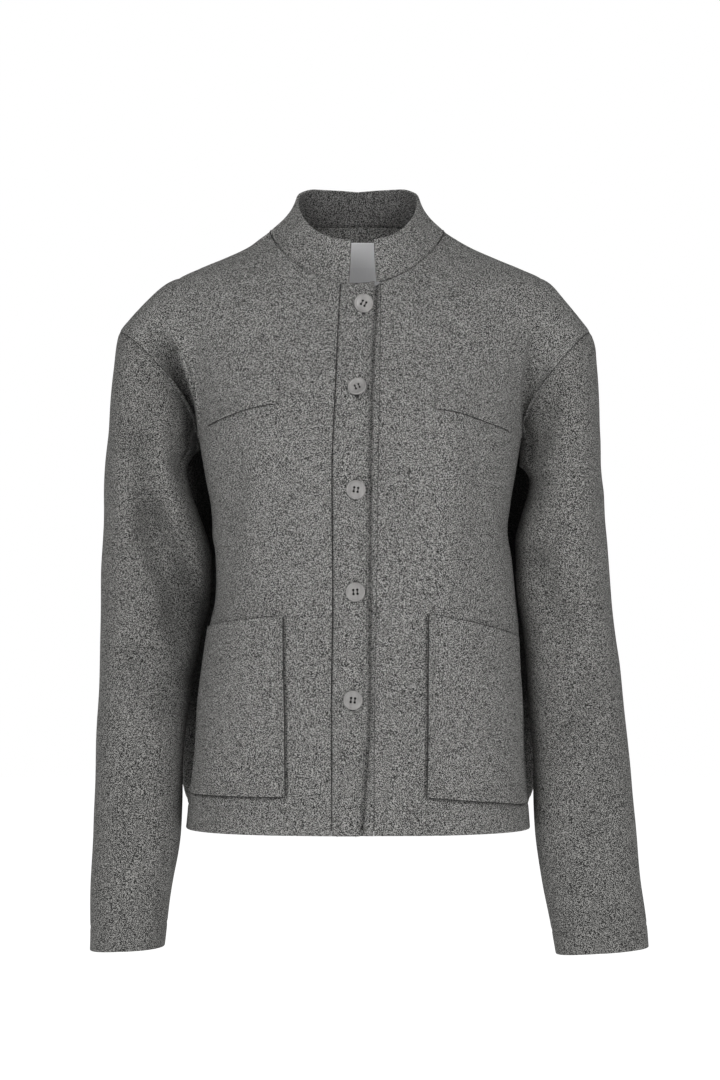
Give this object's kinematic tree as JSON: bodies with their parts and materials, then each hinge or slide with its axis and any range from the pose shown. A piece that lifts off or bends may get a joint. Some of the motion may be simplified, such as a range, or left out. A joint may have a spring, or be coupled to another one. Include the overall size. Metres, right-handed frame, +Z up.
{
  "type": "stand-collar wool jacket with a button band and patch pockets",
  "caption": "Hip-length boxy jacket in marled grey wool, filled out as worn: low stand collar, drop shoulders, long sleeves, button band, slanted breast welts and patch pockets.",
  "frame": {"origin": "midway between the two neck points, in the plane of the shoulder line, where the wearer's shoulders carry the jacket", "axes": "+Z up, the front faces -Y, +X towards the wearer's left"},
  "size_m": [0.5567, 0.2521, 0.7665],
  "materials": {
    "wool": "brushed salt-and-pepper wool twill, matte with a soft nap",
    "wool_sleeve": "brushed salt-and-pepper wool twill, matte with a soft nap",
    "button": "grey shell, softly glossy and cloudy",
    "label_satin": "blank satin, soft sheen"
  },
  "bodies": {
    "root": {"front_right": "wool", "front_left": "wool", "back": "wool", "sleeve_right": "wool_sleeve", "sleeve_left": "wool_sleeve", "collar": "wool", "band_upper": "wool", "band_lower": "wool", "pocket_right": "wool", "pocket_left": "wool", "welt_right": "wool", "welt_left": "wool", "neck_label": "label_satin", "button_1": "button", "button_2": "button", "button_3": "button", "button_4": "button", "button_5": "button"}
  },
  "joints": []
}
